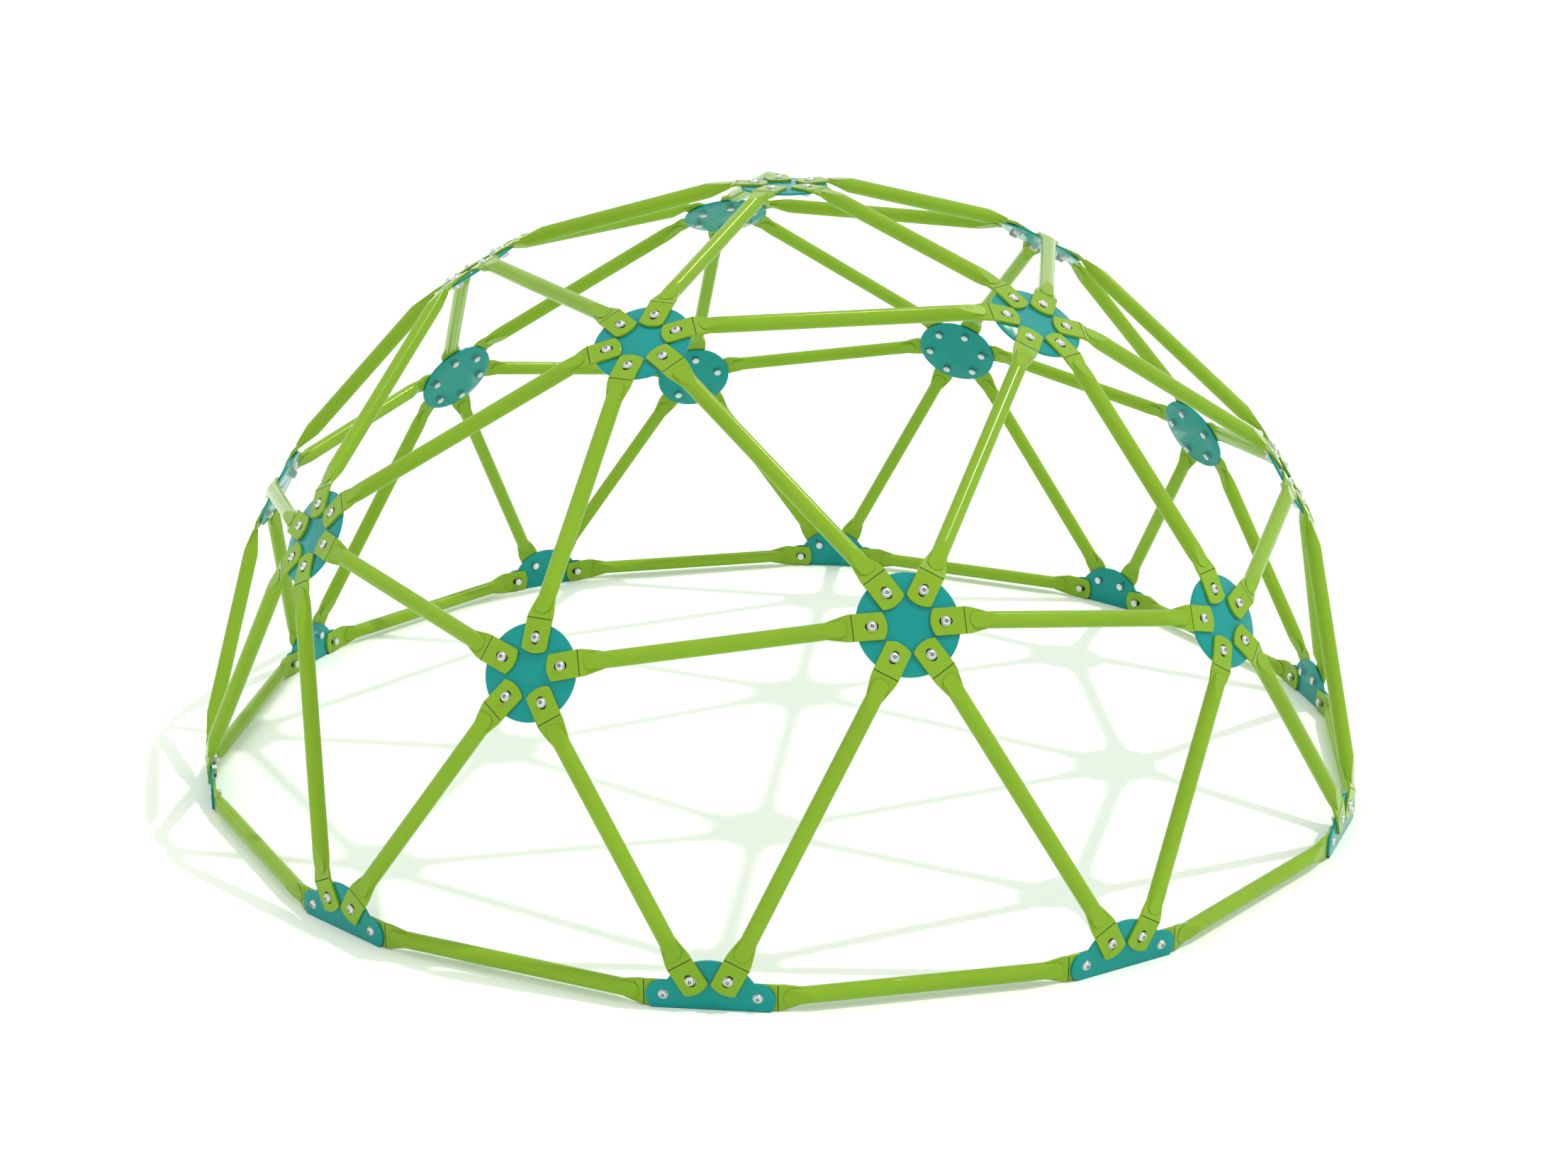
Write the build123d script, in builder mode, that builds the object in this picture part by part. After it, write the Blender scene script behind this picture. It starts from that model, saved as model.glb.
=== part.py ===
from build123d import *

import os
from math import atan, atan2, cos, degrees, pi, radians, sin, sqrt, tan

# Dome climber: half of a two-frequency geodesic sphere, made of straight steel tubes whose
# ends are pressed flat and bent, bolted to flat round plates. It stands on ten foot plates.
# Millimetres. Origin on the ground at the middle of the dome, +Z up.

# ---------------------------------------------------------------- driving dimensions

dome_radius = 1500.0          # middle of the dome to the outer face of every plate

tube_diameter = 38.1
tube_wall = 3.4
press_spread = 2.1            # width that pressing adds to the flattened tube
tongue_start = 11.6           # bend line to the round end of the raised tongue
tongue_rise = 1.6             # step from the flat to the end of the tongue
wedge_length = 67.4           # tongue end to the place where the tube is round again
flare_straight = 10.0         # bend line to the place where the flat starts to narrow
flare_length = 60.0           # bend line to the place where the flat meets the tube

bolt_diameter = 12.7
bolt_end = 1.5                # thread that shows past the nut
hole_clearance = 1.3          # plate hole over bolt
slot_play = 4.1               # tab slot width over bolt
slot_travel = 13.2            # tab slot length over its width
thread_gap = 0.05             # nut bore to bolt, on the radius

plate_thickness = 6.0
plate_margin = 33.5           # bolt circle to the edge of a plate
plate_edge_radius = 0.8
bend_clearance = 8.8          # edge of a plate to the bend line of a strut
marker_diameter = 5.5         # small hole that marks where the short struts go
marker_offset = 17.5          # bolt circle to the marker hole

tip_margin = 18.8             # end of a tab's slot to the tip of the tab
tip_sagitta = 9.0             # rise of the arc at the tip
six_way_gap = 2.3             # corner of a tab to the line midway to its neighbour
five_way_gap = 5.4

ring_ground_gap = 2.0         # ground to the lower edge of the ring struts' tabs
ring_tab_gap = 14.6           # nuts of the rising struts to the tips of the ring tabs
band_cover = 3.0              # upper edge of the ring tabs to the top of the foot's band
lobe_radius = 37.0            # rounded end of a foot plate
lobe_shift = 1.0              # ring bolt to the middle of the rounded end
foot_slot_travel = 7.2        # slot in the foot plate, length over width

# ---------------------------------------------------------------- worked-out sizes

tube_radius = tube_diameter / 2
tab_thickness = 2 * tube_wall
tab_width = pi / 2 * (tube_diameter - tube_wall) + tube_wall + press_spread
tongue_half = tab_thickness / 2 + tongue_rise

slot_width = bolt_diameter + slot_play
slot_length = slot_width + slot_travel
tip_reach = slot_length / 2 + tip_margin          # bolt to the tip of the tab
bend_reach = plate_margin + bend_clearance        # bolt to the bend line

head_radius = 0.875 * bolt_diameter               # button head and heavy nut by the usual
head_height = 0.527 * bolt_diameter               # proportions to the bolt's diameter
head_rim = 0.07 * bolt_diameter
crown_radius = 0.36 * bolt_diameter
socket_radius = 0.26 * bolt_diameter
socket_lobe = 0.075 * bolt_diameter
socket_depth = 0.25 * bolt_diameter
socket_pin = 0.1 * bolt_diameter
nut_flats = 1.5 * bolt_diameter
nut_height = 0.875 * bolt_diameter
nut_corner = nut_flats / sqrt(3)
nut_chamfer = 0.08 * bolt_diameter
grip = tab_thickness + plate_thickness            # what each bolt clamps


def bolt_circle(ways, corner_gap):
    """Radius of the bolts on a plate whose tabs just clear each other at their corners."""
    half_angle = pi / ways
    corner = (tab_width / 2 * cos(half_angle) + corner_gap) / sin(half_angle)
    return corner + tip_reach - tip_sagitta


six_circle = bolt_circle(6, six_way_gap)
five_circle = bolt_circle(5, five_way_gap)

# ---------------------------------------------------------------- geodesic layout

golden = (1 + sqrt(5)) / 2
upper_polar = degrees(atan(1 / golden))           # five six-way plates round the apex
five_polar = degrees(atan(2))                     # five five-way plates half-way down
six_polar = degrees(atan(golden))                 # five six-way plates between them
sector = 72.0
first_azimuth = -126.0


def direction(polar, azimuth):
    """Unit vector at an angle from +Z and an azimuth from +X, in degrees."""
    p, a = radians(polar), radians(azimuth)
    return Vector(sin(p) * cos(a), sin(p) * sin(a), cos(p))


def around(polar, offset):
    """Five hub directions, one to each sector."""
    return [direction(polar, first_azimuth + offset + sector * k) for k in range(5)]


apex_hub = Vector(0, 0, 1)
upper_hubs = around(upper_polar, 0)
five_hubs = around(five_polar, 0)
six_hubs = around(six_polar, sector / 2)
left_feet = around(90, -sector / 4)               # beside each five-way plate, clockwise
right_feet = around(90, sector / 4)               # beside each five-way plate, anticlockwise

# A six-way plate has its holes every 60 degrees, but the long struts leave it at a slightly
# smaller angle from the short ones. Each long strut is moved sideways to meet its holes.
true_angle = six_polar
angle_error = 60.0 - true_angle
long_shift = six_circle * sin(radians(angle_error))
long_reach = six_circle * cos(radians(angle_error)) + bend_reach

outer_seat = dome_radius + tab_thickness / 2                      # middle of an outside tab
inner_seat = dome_radius - plate_thickness - tab_thickness / 2    # middle of a ring tab
ring_height = tab_width / 2 + ring_ground_gap
ring_bolt_x = (six_circle * cos(radians(true_angle)) + nut_corner + ring_tab_gap
               + tip_reach)


def heading(hub, target):
    """Unit vector along the plate at a hub, towards another hub."""
    return (target - hub * hub.dot(target)).normalized()


def strut_place(start, finish, start_reach, finish_reach, seat, shift=0.0, toward=None):
    """Plane of a strut between its two bend lines, with X along it and Z outwards."""
    start_bend = start * seat + heading(start, finish) * start_reach
    finish_bend = finish * seat + heading(finish, start) * finish_reach
    side = start.cross(finish).normalized()
    along = (finish_bend - start_bend).normalized()
    if toward is not None and side.dot(toward) < 0:
        shift = -shift
    middle = (start_bend + finish_bend) / 2 + side * shift
    return Plane(origin=middle, x_dir=along, z_dir=along.cross(side))


def strut_sizes(start, finish, start_reach, finish_reach, seat):
    """Length between the bend lines, and the bend at each end in degrees."""
    start_bend = start * seat + heading(start, finish) * start_reach
    finish_bend = finish * seat + heading(finish, start) * finish_reach
    along = finish_bend - start_bend
    start_angle = heading(start, finish).get_angle(along)
    finish_angle = heading(finish, start).get_angle(along * -1)
    return along.length, start_angle, finish_angle


# ---------------------------------------------------------------- struts


def wedge_ended_bar(length, diameter, end_half, start):
    """Round bar pressed to a wedge at both ends, with its corners cut off seen from above."""
    end_x = length / 2 - start
    round_x = length / 2 - tongue_start - wedge_length
    slope = (tube_radius - tongue_half) / wedge_length
    side_room = 1.0
    over = end_half + slope * (end_x - round_x)
    with BuildPart() as bar:
        with BuildSketch(Plane.YZ):
            Circle(diameter / 2)
        extrude(amount=length / 2, both=True)
        with BuildSketch(Plane.XZ):
            with BuildLine():
                Polyline((-end_x, end_half), (-round_x, over), (-round_x, diameter),
                         (round_x, diameter), (round_x, over), (end_x, end_half),
                         (end_x, -end_half), (round_x, -over), (round_x, -diameter),
                         (-round_x, -diameter), (-round_x, -over), (-end_x, -end_half),
                         close=True)
            make_face()
        extrude(amount=diameter, both=True, mode=Mode.INTERSECT)
        with BuildSketch() as outline:
            Rectangle(2 * end_x, diameter + 2 * side_room)
            chamfer(outline.vertices(), (diameter / 2 + side_room) * (2 - sqrt(2)))
        extrude(amount=diameter, both=True, mode=Mode.INTERSECT)
    return bar.part


def make_strut(length, start_angle, finish_angle):
    """One strut about its own middle: tube, pressed ends and the two bent tabs."""
    half = length / 2
    flare_end = tube_radius - 1
    tip_radius = (tab_width ** 2 / 4 + tip_sagitta ** 2) / (2 * tip_sagitta)
    with BuildPart() as strut:
        add(wedge_ended_bar(length, tube_diameter, tongue_half, tongue_start))
        for end, angle in ((-1, start_angle), (1, finish_angle)):
            mitre = tab_thickness / 2 * tan(radians(angle / 2))
            with BuildSketch():
                with BuildLine():
                    Polyline((end * (half + mitre), tab_width / 2),
                             (end * (half - flare_straight), tab_width / 2),
                             (end * (half - flare_length), flare_end),
                             (end * (half - flare_length), -flare_end),
                             (end * (half - flare_straight), -tab_width / 2),
                             (end * (half + mitre), -tab_width / 2), close=True)
                make_face()
            extrude(amount=tab_thickness / 2, both=True)
        add(wedge_ended_bar(length, tube_diameter - 2 * tube_wall, tongue_half - tube_wall,
                            tongue_start + tube_wall), mode=Mode.SUBTRACT)
        for end, angle in ((-1, start_angle), (1, finish_angle)):
            mitre = tab_thickness / 2 * tan(radians(angle / 2))
            lean = radians(angle)
            tab_plane = Plane(origin=(end * half, 0, 0),
                              x_dir=(end * cos(lean), 0, -sin(lean)),
                              z_dir=(end * sin(lean), 0, cos(lean)))
            tip = bend_reach + tip_reach
            with BuildSketch(tab_plane):
                with BuildLine():
                    Polyline((tip - tip_sagitta, tab_width / 2), (-mitre, tab_width / 2),
                             (-mitre, -tab_width / 2), (tip - tip_sagitta, -tab_width / 2))
                    RadiusArc((tip - tip_sagitta, -tab_width / 2),
                              (tip - tip_sagitta, tab_width / 2), -tip_radius)
                make_face()
                with Locations((bend_reach, 0)):
                    SlotOverall(slot_length, slot_width, mode=Mode.SUBTRACT)
            extrude(amount=tab_thickness / 2, both=True)
    return strut.part


short_reaches = (five_circle + bend_reach, six_circle + bend_reach)
long_reaches = (long_reach, long_reach)
ring_reaches = (ring_bolt_x + bend_reach, ring_bolt_x + bend_reach)

short_strut = make_strut(*strut_sizes(apex_hub, upper_hubs[0], *short_reaches, outer_seat))
long_strut = make_strut(*strut_sizes(upper_hubs[0], upper_hubs[1], *long_reaches,
                                     outer_seat))
ring_strut = make_strut(*strut_sizes(left_feet[0], right_feet[0], *ring_reaches,
                                     inner_seat))


def short_place(five_way, six_way):
    """Where a short strut goes, from a five-way hub to a six-way one."""
    return strut_place(five_way, six_way, *short_reaches, outer_seat)


def long_place(start, finish, third):
    """Where a long strut goes, moved towards the third hub of its equal-sided triangle."""
    return strut_place(start, finish, *long_reaches, outer_seat, long_shift, third)


def ring_place(start, finish):
    """Where a strut of the ground ring goes, lifted to the height of the ring bolts."""
    return strut_place(start, finish, *ring_reaches, inner_seat, ring_height, apex_hub)


# ---------------------------------------------------------------- plates


def hub_plane(hub, target):
    """Outer face of the plate at a hub, with X along the plate towards another hub."""
    return Plane(origin=hub * dome_radius, x_dir=heading(hub, target), z_dir=hub)


def foot_plane(foot):
    """Outer face of a foot plate, with X level and Y up."""
    return Plane(origin=foot * dome_radius, x_dir=apex_hub.cross(foot), z_dir=foot)


def make_plate(ways, circle, marked):
    """Round plate lying under Plane.XY, with a hole for each strut."""
    with BuildPart() as plate:
        with BuildSketch():
            Circle(circle + plate_margin)
            with PolarLocations(circle, ways):
                Circle((bolt_diameter + hole_clearance) / 2, mode=Mode.SUBTRACT)
            if marked:
                with PolarLocations(circle + marker_offset, 2):
                    Circle(marker_diameter / 2, mode=Mode.SUBTRACT)
        extrude(amount=-plate_thickness)
        rim = plate.edges().filter_by(GeomType.CIRCLE).group_by(SortBy.RADIUS)[-1]
        fillet(rim, plate_edge_radius)
    return plate.part


def rising_bolts(hand):
    """Bolts of the two rising struts on a foot plate: the short strut's, then the long's."""
    short_angle = 180 - true_angle
    return [(hand * six_circle * cos(radians(angle)), six_circle * sin(radians(angle)))
            for angle in (short_angle, short_angle - 60)]


def make_foot(hand):
    """Foot plate lying under Plane.XY with Y up; the short strut is at -X where hand is 1."""
    band_top = ring_height + tab_width / 2 + band_cover
    lobe_x, lobe_y = ring_bolt_x + lobe_shift, band_top - lobe_radius
    lean = degrees(atan2(ring_height, ring_bolt_x))
    marker = six_circle + marker_offset
    marker_angle = radians(180 - true_angle)
    ground = 4 * dome_radius
    with BuildPart() as foot:
        with BuildSketch():
            Circle(six_circle + plate_margin)
            with Locations((0, lobe_y)):
                SlotCenterToCenter(2 * lobe_x, 2 * lobe_radius)
            with Locations((0, -ground / 2)):
                Rectangle(ground, ground, mode=Mode.SUBTRACT)
            with Locations(*rising_bolts(hand)):
                Circle((bolt_diameter + hole_clearance) / 2, mode=Mode.SUBTRACT)
            with Locations((hand * marker * cos(marker_angle), marker * sin(marker_angle))):
                Circle(marker_diameter / 2, mode=Mode.SUBTRACT)
            for side in (-1, 1):
                with Locations(Location((side * ring_bolt_x, ring_height, 0),
                                        (0, 0, 90 + side * lean))):
                    SlotOverall(slot_width + foot_slot_travel, slot_width,
                                mode=Mode.SUBTRACT)
        extrude(amount=-plate_thickness)
    return foot.part


six_way_plate = make_plate(6, six_circle, marked=True)
five_way_plate = make_plate(5, five_circle, marked=False)

# ---------------------------------------------------------------- bolts and nuts


def make_bolt():
    """Button-head bolt with a pinned six-lobe socket, seated on Plane.XY and facing +Z."""
    with BuildPart() as bolt:
        with BuildSketch(Plane.XZ):
            with BuildLine():
                Polyline((crown_radius, head_height), (0, head_height), (0, 0),
                         (head_radius, 0), (head_radius, head_rim))
                ThreePointArc((head_radius, head_rim),
                              ((head_radius + crown_radius) / 2 + head_rim,
                               (head_rim + head_height) / 2 + head_rim),
                              (crown_radius, head_height))
            make_face()
        revolve(axis=Axis.Z)
        with BuildSketch():
            Circle(bolt_diameter / 2)
        extrude(amount=-(grip + nut_height + bolt_end))
        with BuildSketch(Plane.XY.offset(head_height)):
            Circle(socket_radius)
            with PolarLocations(socket_radius, 6):
                Circle(socket_lobe)
            Circle(socket_pin, mode=Mode.SUBTRACT)
        extrude(amount=-socket_depth, mode=Mode.SUBTRACT)
    return bolt.part


def make_nut():
    """Hexagon nut hanging under Plane.XY, with its lower corners chamfered."""
    with BuildPart() as nut:
        with BuildSketch():
            RegularPolygon(nut_flats / 2, 6, major_radius=False)
            Circle(bolt_diameter / 2 + thread_gap, mode=Mode.SUBTRACT)
        extrude(amount=-nut_height)
        with BuildSketch(Plane.XZ):
            with BuildLine():
                Polyline((0, 0), (nut_corner + nut_chamfer, 0),
                         (nut_corner + nut_chamfer, nut_chamfer - nut_height),
                         (nut_flats / 2 - nut_chamfer / 2, -nut_height), (0, -nut_height),
                         close=True)
            make_face()
        revolve(axis=Axis.Z, mode=Mode.INTERSECT)
    return nut.part


bolt = make_bolt()
nut = make_nut()


def ring_of_bolts(plane, ways, circle, seat):
    """Planes of the bolts or nuts of a round plate, at a height over its outer face."""
    turns = [radians(360 / ways * k) for k in range(ways)]
    return [Plane(origin=plane.from_local_coords((circle * cos(t), circle * sin(t), seat)),
                  x_dir=plane.x_dir, z_dir=plane.z_dir) for t in turns]


def foot_bolt_planes(plane, hand, rising_seat, ring_seat):
    """Planes of the four bolts or nuts of a foot plate."""
    spots = [(x, y, rising_seat) for x, y in rising_bolts(hand)]
    spots += [(side * ring_bolt_x, ring_height, ring_seat) for side in (-1, 1)]
    return [Plane(origin=plane.from_local_coords(spot), x_dir=plane.x_dir,
                  z_dir=plane.z_dir) for spot in spots]


# ---------------------------------------------------------------- assembly


def write_node(name, *groups):
    """Write one sub-part that holds copies of shapes, each shape at its own places."""
    with BuildPart() as piece:
        for shape, places in groups:
            with Locations(*places):
                add(shape, clean=False)
    piece.part.label = name
    export_step(piece.part, f"parts/{name}.step")


os.makedirs("parts", exist_ok=True)

round_plates = [(apex_hub, upper_hubs[0], 5, five_circle, five_way_plate, "apex_plate")]
for k in range(5):
    number = k + 1
    round_plates += [
        (upper_hubs[k], apex_hub, 6, six_circle, six_way_plate, f"upper_plate_{number}"),
        (five_hubs[k], upper_hubs[k], 5, five_circle, five_way_plate,
         f"five_way_plate_{number}"),
        (six_hubs[k], five_hubs[k], 6, six_circle, six_way_plate,
         f"six_way_plate_{number}"),
    ]

hub_bolt_places, hub_nut_places = [], []
for hub, target, ways, circle, plate, name in round_plates:
    plane = hub_plane(hub, target)
    write_node(name, (plate, [plane]))
    hub_bolt_places += ring_of_bolts(plane, ways, circle, tab_thickness)
    hub_nut_places += ring_of_bolts(plane, ways, circle, -plate_thickness)

foot_bolt_places, foot_nut_places = [], []
for hand, feet, first_number in ((-1, left_feet, 1), (1, right_feet, 2)):
    foot_shape = make_foot(hand)
    for k in range(5):
        plane = foot_plane(feet[k])
        write_node(f"foot_plate_{first_number + 2 * k}", (foot_shape, [plane]))
        foot_bolt_places += foot_bolt_planes(plane, hand, tab_thickness, 0)
        foot_nut_places += foot_bolt_planes(plane, hand, -plate_thickness, -grip)

write_node("hub_bolts", (bolt, hub_bolt_places))
write_node("hub_nuts", (nut, hub_nut_places))
write_node("foot_bolts", (bolt, foot_bolt_places))
write_node("foot_nuts", (nut, foot_nut_places))

for k in range(5):
    number = k + 1
    following = (k + 1) % 5
    write_node(f"apex_strut_{number}", (short_strut, [short_place(apex_hub, upper_hubs[k])]))
    write_node(f"upper_ring_strut_{number}", (long_strut, [
        long_place(upper_hubs[k], upper_hubs[following], six_hubs[k])]))
    write_node(f"upper_fan_struts_{number}",
               (short_strut, [short_place(five_hubs[k], upper_hubs[k])]),
               (long_strut, [
                   long_place(upper_hubs[k], six_hubs[k], upper_hubs[following]),
                   long_place(upper_hubs[k], six_hubs[k - 1], upper_hubs[k - 1])]))
    write_node(f"middle_ring_struts_{number}", (short_strut, [
        short_place(five_hubs[k], six_hubs[k]),
        short_place(five_hubs[k], six_hubs[k - 1])]))
    write_node(f"leg_struts_{number}",
               (short_strut, [short_place(five_hubs[k], left_feet[k]),
                              short_place(five_hubs[k], right_feet[k])]),
               (long_strut, [
                   long_place(six_hubs[k], right_feet[k], left_feet[following]),
                   long_place(six_hubs[k], left_feet[following], right_feet[k])]))
    write_node(f"ground_ring_struts_{number}", (ring_strut, [
        ring_place(left_feet[k], right_feet[k]),
        ring_place(right_feet[k], left_feet[following])]))
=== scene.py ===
"""Dome climber: the looks of a two-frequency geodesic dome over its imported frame."""

import logging
import math
from collections import Counter
from dataclasses import dataclass
from enum import Enum
from typing import Callable, Sequence

import bmesh
import bpy
from mathutils import Matrix, Vector


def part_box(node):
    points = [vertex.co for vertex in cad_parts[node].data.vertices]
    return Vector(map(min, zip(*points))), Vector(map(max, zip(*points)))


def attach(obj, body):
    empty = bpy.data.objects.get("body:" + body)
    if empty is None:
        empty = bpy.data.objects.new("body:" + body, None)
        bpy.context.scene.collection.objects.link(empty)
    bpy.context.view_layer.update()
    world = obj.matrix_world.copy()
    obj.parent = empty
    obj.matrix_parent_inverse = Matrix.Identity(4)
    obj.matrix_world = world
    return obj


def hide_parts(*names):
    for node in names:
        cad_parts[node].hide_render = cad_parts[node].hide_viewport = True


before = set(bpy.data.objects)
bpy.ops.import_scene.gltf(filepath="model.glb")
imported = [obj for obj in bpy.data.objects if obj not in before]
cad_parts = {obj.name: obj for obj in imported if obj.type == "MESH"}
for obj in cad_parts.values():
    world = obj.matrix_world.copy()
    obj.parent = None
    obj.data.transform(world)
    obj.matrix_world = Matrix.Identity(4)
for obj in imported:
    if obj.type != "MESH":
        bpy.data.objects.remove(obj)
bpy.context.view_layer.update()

logger = logging.getLogger("dome_climber")

Piece = bpy.types.Object
Socket = bpy.types.NodeSocket
Pair = tuple[float, float]
Triple = tuple[float, float, float]
Colour = Triple

HAIR = 1e-5     # a length too small to matter, in metres
FACING = 0.9    # least of a unit normal that points a way where the face looks that way
EDGE_ON = 0.02  # most of it that still does where the face runs along that way


def alone(piece: Piece) -> None:
    """Selects one object and nothing else."""
    bpy.ops.object.select_all(action="DESELECT")
    piece.select_set(True)
    bpy.context.view_layer.objects.active = piece


def settle(piece: Piece) -> Piece:
    """Puts an object's place, turn and scale into its mesh, and gives it back."""
    alone(piece)
    bpy.ops.object.transform_apply(location=True, rotation=True, scale=True)
    return piece


def add_bar(sides: int, radius: float, low: float, high: float,
            along_x: bool = False, turn: float = 0.0) -> Piece:
    """Adds a round bar about Z, or about X.

    Args:
        sides: How many flat sides stand for the round.
        radius: Radius of the bar.
        low: Where the bar starts along its axis.
        high: Where it ends.
        along_x: Whether the axis is X.
        turn: Turn of the corners about the axis, in radians.

    Returns:
        The bar, with its place in its mesh.
    """
    middle = (low + high) / 2
    bpy.ops.mesh.primitive_cylinder_add(
        vertices=sides, radius=radius, depth=high - low, end_fill_type="NGON",
        location=(middle, 0, 0) if along_x else (0, 0, middle),
        rotation=(0, math.pi / 2, 0) if along_x else (0, 0, turn))
    return settle(bpy.context.object)


def add_slot_bar(sides: int, radius: float, travel: float, low: float,
                 high: float) -> Piece:
    """Adds a bar about Z with the outline of a slot, long along X.

    Args:
        sides: How many flat sides the two round ends have together, a multiple of four.
        radius: Radius of the round ends.
        travel: Distance between the middles of the round ends.
        low: Lower end of the bar.
        high: Upper end of the bar.

    Returns:
        The bar, with its place in its mesh.
    """
    bar = add_bar(sides, radius, low, high, turn=math.pi / sides)
    bench = Bench(bar)
    for side in (-1, 1):
        bench.pick_corners(lambda place: place.x * side > 0)
        bench.shift((side * travel / 2, 0, 0))
    return bench.close()


def combine(piece: Piece, tool: Piece, operation: str) -> None:
    """Joins or cuts a piece with another, which is used up.

    Args:
        piece: The mesh that stays.
        tool: The mesh that is added, taken away or met.
        operation: The Boolean's UNION, DIFFERENCE or INTERSECT.
    """
    settle(tool)
    alone(piece)
    change = piece.modifiers.new(operation.lower(), "BOOLEAN")
    change.operation = operation
    change.solver = "EXACT"
    change.object = tool
    bpy.ops.object.modifier_apply(modifier=change.name)
    bpy.data.objects.remove(tool)


def smooth(piece: Piece, angle: float) -> None:
    """Shades a piece smooth, but for edges sharper than an angle in degrees."""
    alone(piece)
    bpy.ops.object.shade_smooth_by_angle(angle=math.radians(angle))


def copy_to(pattern: Piece, name: str, place: Matrix) -> Piece:
    """Copies a modelled pattern to its place.

    Args:
        pattern: What is copied, with its mesh.
        name: Name of the copy.
        place: Where the pattern's own frame goes.

    Returns:
        The copy, with its place in a mesh of its own.
    """
    alone(pattern)
    bpy.ops.object.duplicate()
    piece = bpy.context.object
    piece.name = name
    piece.matrix_world = place
    return settle(piece)


def dress(piece: Piece, *finishes: bpy.types.Material) -> None:
    """Gives a piece its finishes, of which the first covers it."""
    for finish in finishes:
        piece.data.materials.append(finish)


def fasten(piece: Piece, slot: str, *nodes: str) -> None:
    """Ties a piece to the frame.

    Args:
        piece: The finished piece.
        slot: Not used.
        nodes: The frame's nodes that the piece stands for.
    """
    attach(piece, "root")
    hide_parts(*nodes)
    logger.info("%s: %d faces, stands for %s", piece.name, len(piece.data.polygons),
                ", ".join(nodes))


class Bench:
    """Edit-mode work on one mesh, on what is picked by its place or its normal."""

    def __init__(self, piece: Piece) -> None:
        """Opens a piece for editing."""
        self.piece = piece
        alone(piece)
        bpy.ops.object.mode_set(mode="EDIT")

    def close(self) -> Piece:
        """Leaves edit mode and gives the piece back."""
        bpy.ops.object.mode_set(mode="OBJECT")
        return self.piece

    def _pick(self, kind: str, test: Callable[..., bool]) -> None:
        """Selects the corners, edges or faces that pass a test, and nothing else.

        Args:
            kind: VERT, EDGE or FACE.
            test: Test on one of them.
        """
        bpy.ops.mesh.select_mode(type=kind)
        bpy.ops.mesh.select_all(action="DESELECT")
        mesh = bmesh.from_edit_mesh(self.piece.data)
        for item in {"VERT": mesh.verts, "EDGE": mesh.edges, "FACE": mesh.faces}[kind]:
            item.select_set(test(item))
        bmesh.update_edit_mesh(self.piece.data)

    def pick_corners(self, test: Callable[[Vector], bool]) -> None:
        """Selects the corners whose place passes a test."""
        self._pick("VERT", lambda corner: test(corner.co))

    def pick_faces(self, test: Callable[[Vector, Vector], bool]) -> None:
        """Selects the faces whose middle and normal pass a test."""
        self._pick("FACE", lambda face: test(face.calc_center_median(), face.normal))

    def pick_edges(self, test: Callable[[Vector, Sequence[Vector]], bool]) -> None:
        """Selects the edges whose middle and whose two faces' normals pass a test."""
        self._pick("EDGE", lambda edge: test((edge.verts[0].co + edge.verts[1].co) / 2,
                                             [face.normal for face in edge.link_faces]))

    def pick_outline(self, inside: Callable[[Vector], bool] = lambda place: True) -> None:
        """Selects the edges between level and upright faces whose middle passes a test."""
        def on_outline(middle: Vector, normals: Sequence[Vector]) -> bool:
            """Whether one face is level and the other upright."""
            leans = sorted(abs(normal.z) for normal in normals)
            return (len(leans) == 2 and leans[0] < EDGE_ON and leans[1] > FACING
                    and inside(middle))

        self.pick_edges(on_outline)

    def shift(self, move: Sequence[float]) -> None:
        """Moves what is selected."""
        bpy.ops.transform.translate(value=move)

    def swing(self, angle: float, centre: Sequence[float]) -> None:
        """Turns what is selected in radians from Z towards X, about a line along Y."""
        bpy.ops.transform.rotate(value=-angle, orient_axis="Y", center_override=centre)

    def scale(self, factors: Sequence[float], centre: Sequence[float]) -> None:
        """Scales what is selected about a point."""
        bpy.ops.transform.resize(value=factors, center_override=centre)

    def raise_picked(self, rise: float) -> None:
        """Pulls the selected faces out along Z, with walls behind them."""
        bpy.ops.mesh.extrude_region_move(TRANSFORM_OT_translate={"value": (0, 0, rise)})

    def dress_picked(self, number: int) -> None:
        """Gives the selected faces one of the piece's finishes, counted from 0."""
        self.piece.active_material_index = number
        bpy.ops.object.material_slot_assign()

    def bevel(self, width: float, segments: int) -> None:
        """Rounds the selected edges."""
        bpy.ops.mesh.bevel(offset=width, segments=segments, affect="EDGES",
                           clamp_overlap=True)

    def slice(self, point: Sequence[float], normal: Sequence[float],
              trim: bool = True) -> None:
        """Cuts the mesh with a plane, and trims what lies on its normal's side."""
        bpy.ops.mesh.select_all(action="SELECT")
        bpy.ops.mesh.bisect(plane_co=point, plane_no=Vector(normal).normalized(),
                            use_fill=trim, clear_outer=trim)


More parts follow.
